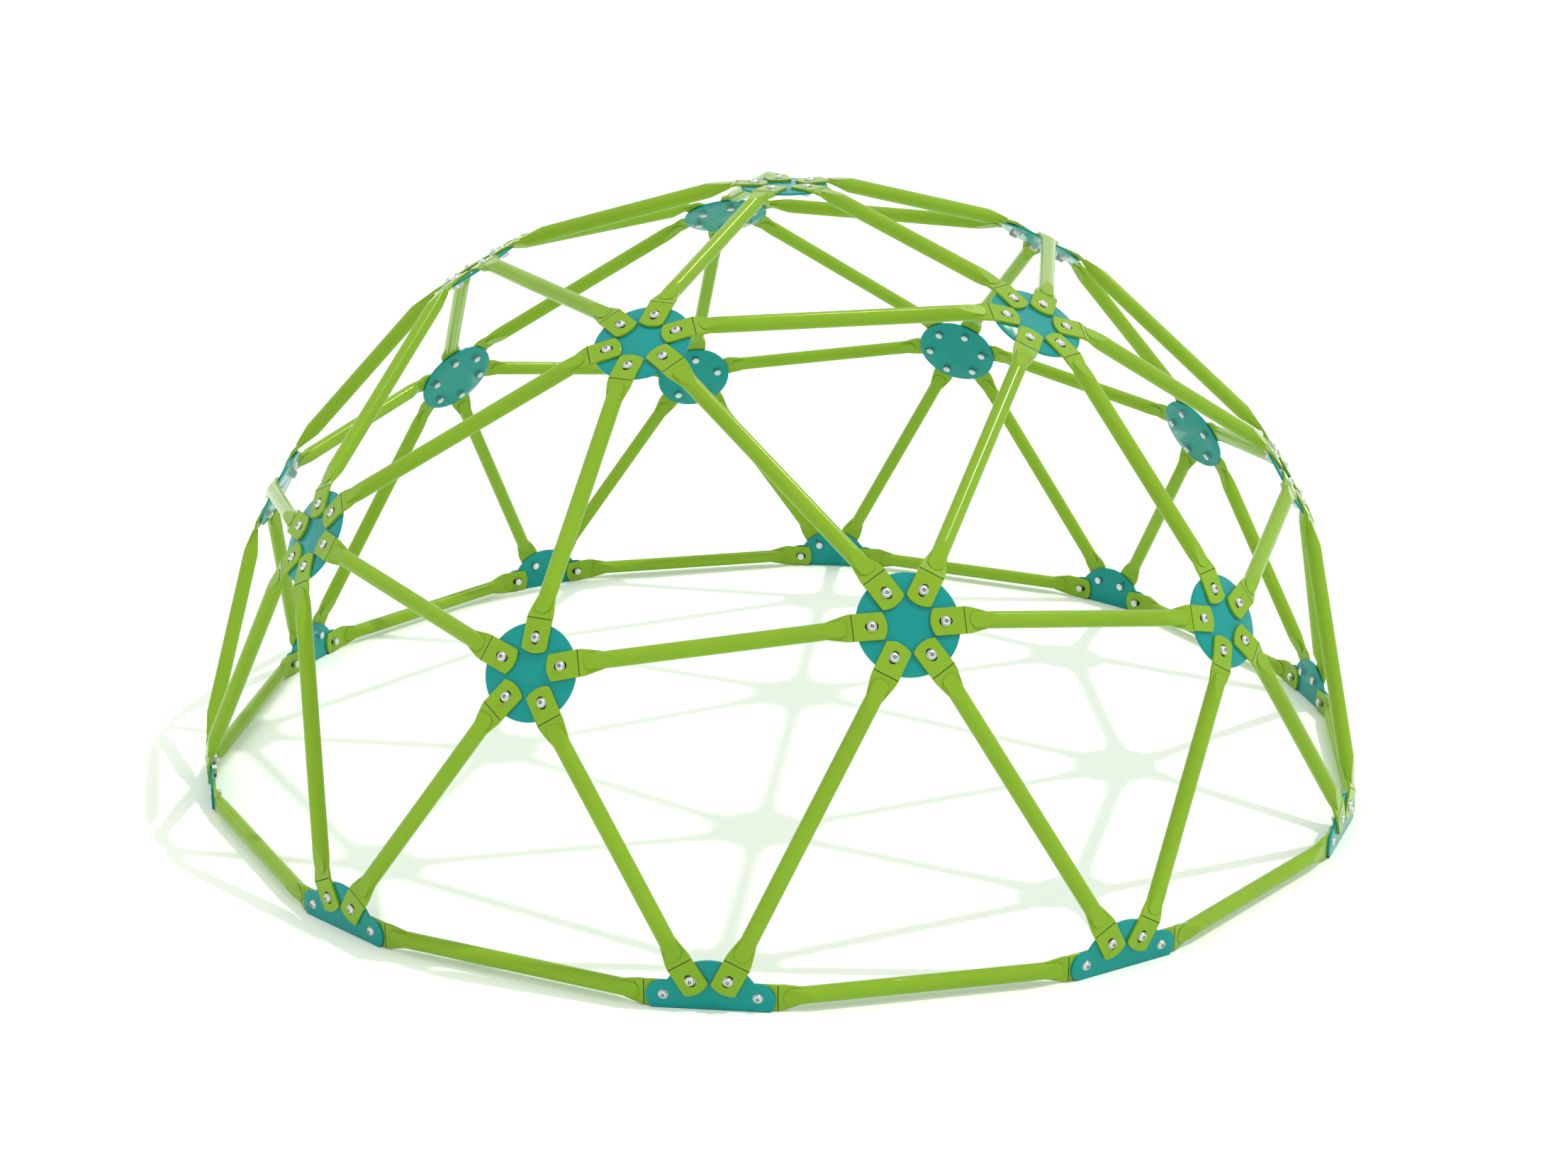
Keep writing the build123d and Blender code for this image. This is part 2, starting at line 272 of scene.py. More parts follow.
@dataclass(frozen=True)
class ClimberSizes:
    """Sizes of the climber in metres, the same as the frame's."""

    dome_radius: float
    tube_diameter: float = 0.0381
    tube_wall: float = 0.0034
    press_spread: float = 0.0021
    tongue_start: float = 0.0116
    tongue_rise: float = 0.0016
    wedge_length: float = 0.0674
    flare_straight: float = 0.010
    flare_length: float = 0.060
    bolt_diameter: float = 0.0127
    bolt_end: float = 0.0015
    nut_flats_share: float = 1.5
    nut_height_share: float = 0.875
    hole_clearance: float = 0.0013
    slot_play: float = 0.0041
    slot_travel: float = 0.0132
    plate_thickness: float = 0.006
    plate_margin: float = 0.0335
    plate_edge_radius: float = 0.0008
    bend_clearance: float = 0.0088
    marker_diameter: float = 0.0055
    marker_offset: float = 0.0175
    tip_margin: float = 0.0188
    tip_sagitta: float = 0.009
    six_way_gap: float = 0.0023
    five_way_gap: float = 0.0054
    ring_ground_gap: float = 0.002
    ring_tab_gap: float = 0.0146
    band_cover: float = 0.003
    lobe_radius: float = 0.037
    lobe_shift: float = 0.001
    foot_slot_travel: float = 0.0072

    @property
    def tube_radius(self) -> float:
        """Outer radius of a strut's tube."""
        return self.tube_diameter / 2

    @property
    def tab_thickness(self) -> float:
        """Thickness of the flattened tube, which is two walls."""
        return 2 * self.tube_wall

    @property
    def tab_width(self) -> float:
        """Width of the flattened tube."""
        return (math.pi / 2 * (self.tube_diameter - self.tube_wall) + self.tube_wall
                + self.press_spread)

    @property
    def slot_width(self) -> float:
        """Width of the slots."""
        return self.bolt_diameter + self.slot_play

    @property
    def tip_reach(self) -> float:
        """Bolt to the tip of a tab."""
        return (self.slot_width + self.slot_travel) / 2 + self.tip_margin

    @property
    def bend_reach(self) -> float:
        """Bolt to the bend of a strut."""
        return self.plate_margin + self.bend_clearance

    @property
    def nut_flats(self) -> float:
        """Width of a nut across its flats."""
        return self.nut_flats_share * self.bolt_diameter

    @property
    def nut_height(self) -> float:
        """Height of a nut."""
        return self.nut_height_share * self.bolt_diameter

    @property
    def grip(self) -> float:
        """What each bolt clamps."""
        return self.tab_thickness + self.plate_thickness

    @property
    def five_circle(self) -> float:
        """Radius of the bolts on a five-way plate."""
        return self._bolt_circle(5, self.five_way_gap)

    @property
    def six_circle(self) -> float:
        """Radius of the bolts on a six-way plate."""
        return self._bolt_circle(6, self.six_way_gap)

    def _bolt_circle(self, ways: int, corner_gap: float) -> float:
        """Radius of the bolts where the corners of neighbouring tabs just clear."""
        half_angle = math.pi / ways
        corner = (self.tab_width / 2 * math.cos(half_angle) + corner_gap) / math.sin(
            half_angle)
        return corner + self.tip_reach - self.tip_sagitta


class StrutKind(Enum):
    """The three struts that the dome is made of."""

    SHORT = "short"
    LONG = "long"
    GROUND = "ground"


class PlateKind(Enum):
    """The four plates that the dome is made of."""

    FIVE_WAY = "five_way"
    SIX_WAY = "six_way"
    LEFT_FOOT = "left_foot"
    RIGHT_FOOT = "right_foot"


@dataclass(frozen=True)
class Seat:
    """Where a strut or a plate goes, and the frame's node that it belongs to."""

    kind: StrutKind | PlateKind
    node: str
    place: Matrix


def place_of(origin: Vector, along: Vector, out: Vector) -> Matrix:
    """Place of a pattern from its origin, its X and its Z."""
    turn = Matrix((along, out.cross(along), out)).transposed().to_4x4()
    return Matrix.Translation(origin) @ turn


class DomeLayout:
    """Half of a two-frequency geodesic sphere: where its hubs are and what joins them."""

    golden = (1 + math.sqrt(5)) / 2
    sector = 72.0
    first_azimuth = -126.0
    ground_polar = 90.0
    six_way_step = 60.0

    def __init__(self, sizes: ClimberSizes) -> None:
        """Works out the hubs.

        Args:
            sizes: Sizes of the climber.
        """
        self.sizes = sizes
        self.true_angle = math.degrees(math.atan(self.golden))
        self.apex = Vector((0, 0, 1))
        self.upper = self._around(math.degrees(math.atan(1 / self.golden)), 0)
        self.five = self._around(math.degrees(math.atan(2)), 0)
        self.six = self._around(self.true_angle, self.sector / 2)
        self.left_feet = self._around(self.ground_polar, -self.sector / 4)
        self.right_feet = self._around(self.ground_polar, self.sector / 4)
        self.ring_height = sizes.tab_width / 2 + sizes.ring_ground_gap
        self.ring_bolt_x = (sizes.six_circle * math.cos(math.radians(self.true_angle))
                            + sizes.nut_flats / math.sqrt(3) + sizes.ring_tab_gap
                            + sizes.tip_reach)
        outside = sizes.dome_radius + sizes.tab_thickness / 2
        inside = sizes.dome_radius - sizes.plate_thickness - sizes.tab_thickness / 2
        error = math.radians(self.six_way_step - self.true_angle)
        five, six, long, ring = (circle + sizes.bend_reach for circle in (
            sizes.five_circle, sizes.six_circle, sizes.six_circle * math.cos(error),
            self.ring_bolt_x))
        # Hub to bend at both ends, radius of the tabs' middle, and shift sideways.
        self.rules = {
            StrutKind.SHORT: (five, six, outside, 0.0),
            StrutKind.LONG: (long, long, outside, sizes.six_circle * math.sin(error)),
            StrutKind.GROUND: (ring, ring, inside, self.ring_height),
        }

    def _around(self, polar: float, offset: float) -> list[Vector]:
        """Finds one hub in each sector.

        Args:
            polar: Angle between the hub and the apex, in degrees.
            offset: Turn from the first azimuth, in degrees.

        Returns:
            The directions of the five hubs.
        """
        lean = math.radians(polar)
        turns = [math.radians(self.first_azimuth + offset + self.sector * k)
                 for k in range(5)]
        return [Vector((math.sin(lean) * math.cos(turn), math.sin(lean) * math.sin(turn),
                        math.cos(lean))) for turn in turns]

    @staticmethod
    def heading(hub: Vector, target: Vector) -> Vector:
        """Unit vector along the plate at a hub, towards another hub."""
        return (target - hub * hub.dot(target)).normalized()

    def _bends(self, kind: StrutKind, start: Vector,
               finish: Vector) -> tuple[Vector, Vector]:
        """The two bends of a strut between two hubs."""
        first, last, seat, _ = self.rules[kind]
        return (start * seat + self.heading(start, finish) * first,
                finish * seat + self.heading(finish, start) * last)

    def strut_sizes(self, kind: StrutKind) -> Triple:
        """Length between the bends and the bend at each end.

        Args:
            kind: Which strut.

        Returns:
            The length in metres, and the angles at both ends in radians.
        """
        start, finish = {
            StrutKind.SHORT: (self.apex, self.upper[0]),
            StrutKind.LONG: (self.upper[0], self.upper[1]),
            StrutKind.GROUND: (self.left_feet[0], self.right_feet[0]),
        }[kind]
        first, last = self._bends(kind, start, finish)
        along = last - first
        return (along.length, self.heading(start, finish).angle(along),
                self.heading(finish, start).angle(-along))

    def _strut(self, kind: StrutKind, node: str, start: Vector, finish: Vector,
               toward: Vector | None = None) -> Seat:
        """Place of one strut, moved sideways to meet its holes where it is a long one.

        Args:
            kind: Which strut.
            node: Node that it belongs to.
            start: Hub where it starts.
            finish: Hub where it ends.
            toward: Hub on the side that it moves to.

        Returns:
            Where it goes.
        """
        first, last = self._bends(kind, start, finish)
        side = start.cross(finish).normalized()
        shift = self.rules[kind][-1]
        if toward is not None and side.dot(toward) < 0:
            shift = -shift
        along = (last - first).normalized()
        middle = (first + last) / 2 + side * shift
        return Seat(kind, node, place_of(middle, along, along.cross(side)))

    def struts(self) -> list[Seat]:
        """Sets out all 65 struts.

        Returns:
            Where each goes, with the node that it belongs to.
        """
        short, long, ground = StrutKind
        upper, five, six = self.upper, self.five, self.six
        left, right = self.left_feet, self.right_feet
        found = []
        for k in range(5):
            after = (k + 1) % 5
            found += [self._strut(kind, f"{node}_{k + 1}", *ends) for kind, node, *ends in (
                (short, "apex_strut", self.apex, upper[k]),
                (long, "upper_ring_strut", upper[k], upper[after], six[k]),
                (short, "upper_fan_struts", five[k], upper[k]),
                (long, "upper_fan_struts", upper[k], six[k], upper[after]),
                (long, "upper_fan_struts", upper[k], six[k - 1], upper[k - 1]),
                (short, "middle_ring_struts", five[k], six[k]),
                (short, "middle_ring_struts", five[k], six[k - 1]),
                (short, "leg_struts", five[k], left[k]),
                (short, "leg_struts", five[k], right[k]),
                (long, "leg_struts", six[k], right[k], left[after]),
                (long, "leg_struts", six[k], left[after], right[k]),
                (ground, "ground_ring_struts", left[k], right[k], self.apex),
                (ground, "ground_ring_struts", right[k], left[after], self.apex))]
        return found

    def _hub(self, kind: PlateKind, node: str, hub: Vector, target: Vector) -> Seat:
        """Place of the outer face of a round plate, with X towards another hub."""
        return Seat(kind, node, place_of(hub * self.sizes.dome_radius,
                                         self.heading(hub, target), hub))

    def hubs(self) -> list[Seat]:
        """All 16 round plates."""
        five_way, six_way = PlateKind.FIVE_WAY, PlateKind.SIX_WAY
        found = [self._hub(five_way, "apex_plate", self.apex, self.upper[0])]
        for k in range(5):
            number = k + 1
            found += [
                self._hub(six_way, f"upper_plate_{number}", self.upper[k], self.apex),
                self._hub(five_way, f"five_way_plate_{number}", self.five[k],
                          self.upper[k]),
                self._hub(six_way, f"six_way_plate_{number}", self.six[k], self.five[k]),
            ]
        return found

    def feet(self) -> list[Seat]:
        """All ten foot plates, with X level and Y up."""
        return [Seat(kind, f"foot_plate_{first + 2 * k}",
                     place_of(foot * self.sizes.dome_radius, self.apex.cross(foot), foot))
                for kind, first, feet in ((PlateKind.LEFT_FOOT, 1, self.left_feet),
                                          (PlateKind.RIGHT_FOOT, 2, self.right_feet))
                for k, foot in enumerate(feet)]

    def rising_bolts(self, kind: PlateKind) -> list[Pair]:
        """Bolts of a foot plate's two rising struts: the short strut's comes first.

        Args:
            kind: Which foot plate.

        Returns:
            Each bolt's X and Y on the plate.
        """
        hand = -1 if kind is PlateKind.LEFT_FOOT else 1
        angles = [math.radians(steps * self.six_way_step - self.true_angle)
                  for steps in (3, 2)]
        circle = self.sizes.six_circle
        return [(hand * circle * math.cos(angle), circle * math.sin(angle))
                for angle in angles]

    def bolt_spots(self, kind: PlateKind) -> list[tuple[float, float, bool]]:
        """Bolts of a plate.

        Args:
            kind: Which plate.

        Returns:
            Each bolt's X and Y on the plate, and whether its tab is on the outer side.
        """
        sizes = self.sizes
        if kind in (PlateKind.LEFT_FOOT, PlateKind.RIGHT_FOOT):
            return [(x, y, True) for x, y in self.rising_bolts(kind)] + [
                (side * self.ring_bolt_x, self.ring_height, False) for side in (-1, 1)]
        ways, circle = ((5, sizes.five_circle) if kind is PlateKind.FIVE_WAY
                        else (6, sizes.six_circle))
        turns = [math.tau / ways * k for k in range(ways)]
        return [(circle * math.cos(turn), circle * math.sin(turn), True)
                for turn in turns]


class NodeBoard:
    """A material's nodes, added and wired one by one."""

    noise_span = (0.3, 0.7)      # where nearly all noise lies
    # Painted shade in corners: the span maps how much sky is hidden to how dark the colour
    # gets, over this many rays.
    corner_shade_span = (0.22, 0.62)   # open sky over the darkest corner and over a fair one
    corner_shade_rays = 16
    mix_share, mix_low, mix_high, mix_result = 0, 6, 7, 2   # sockets of a colour mix

    def __init__(self, name: str) -> None:
        """Makes a named material with a shader and its output."""
        self.material = bpy.data.materials.new(name)
        self.material.use_nodes = True
        self.tree = self.material.node_tree
        self.shader = self.tree.nodes["Principled BSDF"]
        self.places = self.add("ShaderNodeTexCoord")

    def add(self, kind: str, **settings: object) -> bpy.types.Node:
        """Adds a node and sets its properties."""
        node = self.tree.nodes.new(kind)
        for name, value in settings.items():
            setattr(node, name, value)
        return node

    def wire(self, start: Socket, finish: Socket) -> None:
        """Wires one socket to another."""
        self.tree.links.new(start, finish)

    def noise(self, cells: float, octaves: float) -> Socket:
        """Adds noise that is fixed to the piece.

        Args:
            cells: Noise cells to a metre.
            octaves: Octaves of finer noise.

        Returns:
            The noise, about 0.5 at its middle.
        """
        grain = self.add("ShaderNodeTexNoise")
        grain.inputs["Scale"].default_value = cells
        grain.inputs["Detail"].default_value = octaves
        self.wire(self.places.outputs["Object"], grain.inputs["Vector"])
        return grain.outputs["Fac"]

    def _spread(self, source: Socket, span: Pair,
                low: float, high: float) -> Socket:
        """Spreads a value from one span to another.

        Args:
            source: The value.
            span: Its own lower and upper end.
            low: What the lower end becomes.
            high: What the upper end becomes.

        Returns:
            The spread value.
        """
        spread = self.add("ShaderNodeMapRange")
        spread.inputs["From Min"].default_value = span[0]
        spread.inputs["From Max"].default_value = span[1]
        spread.inputs["To Min"].default_value = low
        spread.inputs["To Max"].default_value = high
        self.wire(source, spread.inputs["Value"])
        return spread.outputs["Result"]

    def ramp(self, source: Socket, low: float, high: float, target: Socket) -> None:
        """Spreads noise between two values and wires it to a socket."""
        self.wire(self._spread(source, self.noise_span, low, high), target)

    def tint(self, source: Socket, colour: Colour, darkest: float, palest: float) -> None:
        """Colours the shader by noise, between a darker and a paler tint.

        Args:
            source: The noise.
            colour: The colour between them.
            darkest: Factor of the darker tint.
            palest: Factor of the paler tint.
        """
        mix = self.add("ShaderNodeMix", data_type="RGBA")
        for socket, factor in ((self.mix_low, darkest), (self.mix_high, palest)):
            mix.inputs[socket].default_value = (
                *(min(1.0, part * factor) for part in colour), 1)
        self.ramp(source, 0, 1, mix.inputs[self.mix_share])
        self.wire(mix.outputs[self.mix_result], self.shader.inputs["Base Color"])

    def paint_corner_shade(self, reach: float, shade: float) -> None:
        """Paints shade into the colour in slots and under neighbouring pieces, where other
        surfaces are near.

        Args:
            reach: How near another surface is where the painted shade starts.
            shade: Share of the colour that is left in the deepest corner.
        """
        # Painted shade: the base colour is multiplied down where other surfaces hide the
        # sky.
        near = self.add("ShaderNodeAmbientOcclusion", samples=self.corner_shade_rays)
        near.inputs["Distance"].default_value = reach
        mix = self.add("ShaderNodeMix", data_type="RGBA", blend_type="MULTIPLY")
        mix.inputs[self.mix_share].default_value = 1
        colour = self.shader.inputs["Base Color"]
        self.wire(colour.links[0].from_socket, mix.inputs[self.mix_low])
        self.wire(self._spread(near.outputs["AO"], self.corner_shade_span, shade, 1),
                  mix.inputs[self.mix_high])
        self.wire(mix.outputs[self.mix_result], colour)

    def fix(self, name: str, value: float) -> None:
        """Sets one of the shader's values all over."""
        self.shader.inputs[name].default_value = value

    def bump(self, source: Socket, strength: float, height: float) -> None:
        """Raises the surface by noise.

        Args:
            source: The noise.
            strength: Share of the bump that shows.
            height: Height of the bump in metres.
        """
        relief = self.add("ShaderNodeBump")
        relief.inputs["Strength"].default_value = strength
        relief.inputs["Distance"].default_value = height
        self.wire(source, relief.inputs["Height"])
        self.wire(relief.outputs["Normal"], self.shader.inputs["Normal"])


@dataclass(frozen=True)
class Finish:
    """A finish that varies over a piece by noise.

    Each noise is its cells to a metre and its octaves, and corners gives the reach and the
    depth of the painted shade in corners and slots. None leaves one out.
    """

    name: str
    colour: Colour
    roughness: Pair
    tints: Pair
    tint_noise: Pair
    rough_noise: Pair | None = None
    bump_noise: Pair | None = None
    bump_share: float = 0.0
    bump_height: float = 0.0
    gloss: float = 0.5
    metallic: float = 0.0
    corners: Pair | None = None

    def make(self) -> bpy.types.Material:
        """Makes the material.

        Returns:
            The material.
        """
        board = NodeBoard(self.name)
        board.tint(board.noise(*self.tint_noise), self.colour, *self.tints)
        # Painted shade: darker colour in corners and slots, where other surfaces are near.
        if self.corners:
            board.paint_corner_shade(*self.corners)
        board.fix("Roughness", self.roughness[0])
        if self.rough_noise:
            board.ramp(board.noise(*self.rough_noise), *self.roughness,
                       board.shader.inputs["Roughness"])
        if self.bump_noise:
            board.bump(board.noise(*self.bump_noise), self.bump_share, self.bump_height)
        board.fix("Specular IOR Level", self.gloss)
        board.fix("Metallic", self.metallic)
        return board.material


@dataclass(frozen=True)
class PowderCoat(Finish):
    """Smooth baked powder coat, with the fine orange peel that it dries to, and painted
    shade in its corners and slots.
    """

    tints: Pair = (0.95, 1.05)
    tint_noise: Pair = (3.5, 4)
    roughness: Pair = (0.13, 0.20)
    rough_noise: Pair = (60.0, 3)
    bump_noise: Pair = (420.0, 1)
    bump_share: float = 0.1
    bump_height: float = 0.00005
    gloss: float = 0.17
    # Painted shade in corners and slots: reach of 10 mm, 12 % of the colour left at the
    # deepest.
    corners: Pair = (0.010, 0.12)


@dataclass(frozen=True)
class BareSteel(Finish):
    """Bare or plated steel with a fine turned grain."""

    tints: Pair = (0.93, 1.05)
    tint_noise: Pair = (40.0, 3)
    rough_noise: Pair = (300.0, 2)
    bump_noise: Pair = (500.0, 1)
    bump_share: float = 0.08
    bump_height: float = 0.00003
    metallic: float = 1.0


@dataclass(frozen=True)
class PaintedGrooveShade(Finish):
    """Painted shade: a near-black coat on the floor of the groove along a bend, for the
    shadow in it.
    """

    name: str = "bend_groove_painted_shade"
    colour: Colour = (0.012, 0.02, 0.006)
    tints: Pair = (0.7, 1.4)
    tint_noise: Pair = (300.0, 2)
    roughness: Pair = (0.8, 0.8)


@dataclass(frozen=True)
class StudioFloor(Finish):
    """Matt white studio floor, with a faint green tint that is painted bounce light from
    the green struts, which shows in its shadows.
    """

    name: str = "studio_floor"
    # Painted bounce light: the green tint stands in for light thrown back from the struts.
    colour: Colour = (0.93, 0.995, 0.90)
    tints: Pair = (0.995, 1.0)
    tint_noise: Pair = (2.0, 2)
    roughness: Pair = (0.95, 0.95)
    gloss: float = 0.0


@dataclass
class Maker:
    """What every maker works from: the climber's sizes and where its hubs are."""

    sizes: ClimberSizes
    layout: DomeLayout


@dataclass
class StrutMaker(Maker):
    """Models the struts: tubes with pressed, flared and bent ends."""

    colour: Colour = (0.203, 0.362, 0.017)
    round_sides: int = 48
    slot_sides: int = 32
    nose_share: float = 0.85
    nose_fan: tuple[float, ...] = (-78, -66, -55, -44, -33, -22, -11,
                                   11, 22, 33, 44, 55, 66, 78)
    tip_fan: tuple[float, ...] = (-0.9, -0.7, -0.5, -0.3, -0.1,
                                  0.1, 0.3, 0.5, 0.7, 0.9)
    groove_width: float = 0.0011
    groove_depth: float = 0.0004
    nose_rounding: float = 0.0006
    wedge_lead: float = 0.004
    rim_rounding: float = 0.0008
    corner_rounding: float = 0.002
    flare_rounding: float = 0.008
    flare_sink: float = 0.001
    side_share: float = 0.97
    rim_lean: float = 0.3
    sharp_angle: float = 12.0

    def __post_init__(self) -> None:
        """Makes the struts' finishes."""
        self.coat = PowderCoat("green_powder_coat", self.colour).make()
        # The groove's finish is painted shade.
        self.groove = PaintedGrooveShade().make()

    def _tube(self, length: float) -> Piece:
        """Models the tube, pressed to a wedge with a round nose at both ends.

        Args:
            length: Length of the strut between its bends.

        Returns:
            The tube, along X.
        """
        sizes = self.sizes
        end_x = length / 2 - sizes.tongue_start
        drop = sizes.tube_radius - sizes.tab_thickness / 2 - sizes.tongue_rise
        nose = sizes.tube_radius * self.nose_share
        tube = add_bar(self.round_sides, sizes.tube_radius, -end_x, end_x, along_x=True)
        bench = Bench(tube)
        for end in (-1, 1):
            bench.slice((end * (end_x - sizes.wedge_length - self.wedge_lead), 0, 0),
                        (1, 0, 0), trim=False)
            for face in (-1, 1):
                bench.slice((end * (end_x - sizes.wedge_length), 0,
                             face * sizes.tube_radius),
                            (end * drop, 0, face * sizes.wedge_length))
            for turn in map(math.radians, self.nose_fan):
                bench.slice((end * (end_x - nose + nose * math.cos(turn)),
                             sizes.tube_radius * math.sin(turn), 0),
                            (end * math.cos(turn) / nose,
                             math.sin(turn) / sizes.tube_radius, 0))
        bench.pick_outline()
        bench.bevel(self.nose_rounding, segments=2)
        return bench.close()

    def _outline(self, half: float, end: int) -> Piece:
        """Models the flat end before it is bent, with its flare and its round tip.

        Args:
            half: Half of the length between the bends.
            end: 1 for the end at +X, -1 for the other.

        Returns:
            The flat end.
        """
        sizes = self.sizes
        inner = half - sizes.flare_length
        tip = half + sizes.bend_reach + sizes.tip_reach
        side_y = sizes.tab_width / 2
        bpy.ops.mesh.primitive_cube_add(
            size=1, location=(end * (inner + tip) / 2, 0, 0),
            scale=(tip - inner, sizes.tab_width, sizes.tab_thickness))
        bench = Bench(settle(bpy.context.object))
        rise = side_y - (sizes.tube_radius - self.flare_sink)
        run = sizes.flare_length - sizes.flare_straight
        for side in (-1, 1):
            bench.slice((end * (half - sizes.flare_straight), side * side_y, 0),
                        (-end * rise, side * run, 0))
        radius = (side_y ** 2 + sizes.tip_sagitta ** 2) / (2 * sizes.tip_sagitta)
        sweep = math.asin(side_y / radius)
        for share in self.tip_fan:
            turn = sweep * share
            bench.slice((end * (tip - radius + radius * math.cos(turn)),
                         radius * math.sin(turn), 0),
                        (end * math.cos(turn), math.sin(turn), 0))
        for low, high, rounding in (
                (half - sizes.flare_length / 2, half, self.flare_rounding),
                (half + sizes.bend_reach, tip, self.corner_rounding)):
            bench.pick_edges(lambda place, normals: (
                abs(place.z) < HAIR and abs(place.y) > self.side_share * side_y
                and low < end * place.x < high))
            bench.bevel(rounding, segments=3)
        bench.pick_outline(lambda place: end * place.x > inner + HAIR)
        bench.bevel(self.rim_rounding, segments=2)
        return bench.close()

    def _pressed_end(self, length: float, end: int, angle: float) -> Piece:
        """Models a flat end with its slot, its groove with painted shade on its floor, and
        its bend.

        Args:
            length: Length of the strut between its bends.
            end: 1 for the end at +X, -1 for the other.
            angle: The bend, in radians.

        Returns:
            The flat end, in the strut's frame.
        """
        sizes = self.sizes
        half = length / 2
        tab = self._outline(half, end)
        slot = add_slot_bar(self.slot_sides, sizes.slot_width / 2, sizes.slot_travel,
                            -sizes.tab_thickness, sizes.tab_thickness)
        slot.location.x = end * (half + sizes.bend_reach)
        combine(tab, slot, "DIFFERENCE")
        dress(tab, self.coat, self.groove)
        top = sizes.tab_thickness / 2
        bench = Bench(tab)
        for side in (-1, 1):
            bench.slice((end * half + side * self.groove_width / 2, 0, 0), (1, 0, 0),
                        trim=False)
        bench.pick_faces(lambda place, normal: (
            normal.z > self.rim_lean
            and abs(end * place.x - half) < self.groove_width / 2))
        bpy.ops.mesh.inset(thickness=self.groove_width / 10, depth=-self.groove_depth)
        # Painted shade: the floor of the groove gets the near-black finish.
        bench.pick_faces(lambda place, normal: (
            place.z > top - 2 * self.groove_depth
            and abs(end * place.x - half) < self.groove_width / 2))
        bench.dress_picked(1)
        bench.pick_corners(lambda place: end * place.x > half + HAIR)
        bench.swing(end * angle, (end * half, 0, 0))
        return bench.close()

    def pattern(self, kind: StrutKind) -> Piece:
        """Models one strut about its own middle, with X along it and Z outwards.

        Args:
            kind: Which strut.

        Returns:
            The strut.
        """
        length, start_angle, finish_angle = self.layout.strut_sizes(kind)
        strut = self._tube(length)
        dress(strut, self.coat, self.groove)
        for end, angle in ((-1, start_angle), (1, finish_angle)):
            combine(strut, self._pressed_end(length, end, angle), "UNION")
        smooth(strut, self.sharp_angle)
        return strut

    def build(self) -> None:
        """Models each kind of strut once and copies it to all its places."""
        patterns = {kind: self.pattern(kind) for kind in StrutKind}
        counts = Counter()
        for strut in self.layout.struts():
            counts[strut.node] += 1
            name = f"{strut.node}_{strut.kind.value}_{counts[strut.node]}"
            fasten(copy_to(patterns[strut.kind], name, strut.place), "struts",
                   strut.node)
        for pattern in patterns.values():
            bpy.data.objects.remove(pattern)


